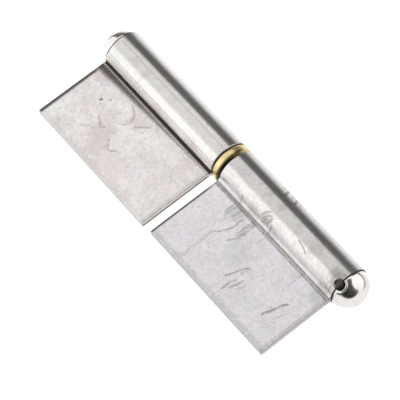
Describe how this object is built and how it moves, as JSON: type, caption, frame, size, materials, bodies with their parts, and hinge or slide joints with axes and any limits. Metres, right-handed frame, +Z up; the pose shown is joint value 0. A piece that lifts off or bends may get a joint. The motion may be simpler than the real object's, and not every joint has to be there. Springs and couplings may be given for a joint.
{
  "type": "flag hinge",
  "caption": "Lift-off flag hinge for welding on: rolled steel leaves with closed knuckles, a headed pin, a headed plug and a brass bearing ring.",
  "frame": {"origin": "middle of the flat of the lower leaf's weld face, which is laid against the frame and welded to it", "axes": "+Z up along the pin, +X from the pin towards the leaves' outer edges, +Y out of the lower leaf's weld face"},
  "size_m": [0.044, 0.0149, 0.1334],
  "materials": {
    "stainless_sheet": "tumbled, stained and finely scratched",
    "turned_steel": "polished",
    "brass": "turned and polished"
  },
  "bodies": {
    "lower_half": {"lower_leaf": "stainless_sheet", "pin": "turned_steel"},
    "bearing_ring": {"washer": "brass"},
    "upper_half": {"upper_leaf": "stainless_sheet", "end_plug": "turned_steel"}
  },
  "joints": [
    {"name": "leaf_swing", "type": "hinge", "parent": "lower_half", "child": "bearing_ring", "pos_m": [-0.02268, -0.00205, 0.03125], "axis": [0, 0, 1], "continuous": true},
    {"name": "lift_off", "type": "slide", "parent": "bearing_ring", "child": "upper_half", "axis": [0, 0, 1], "range_m": [0, 0.045]}
  ]
}
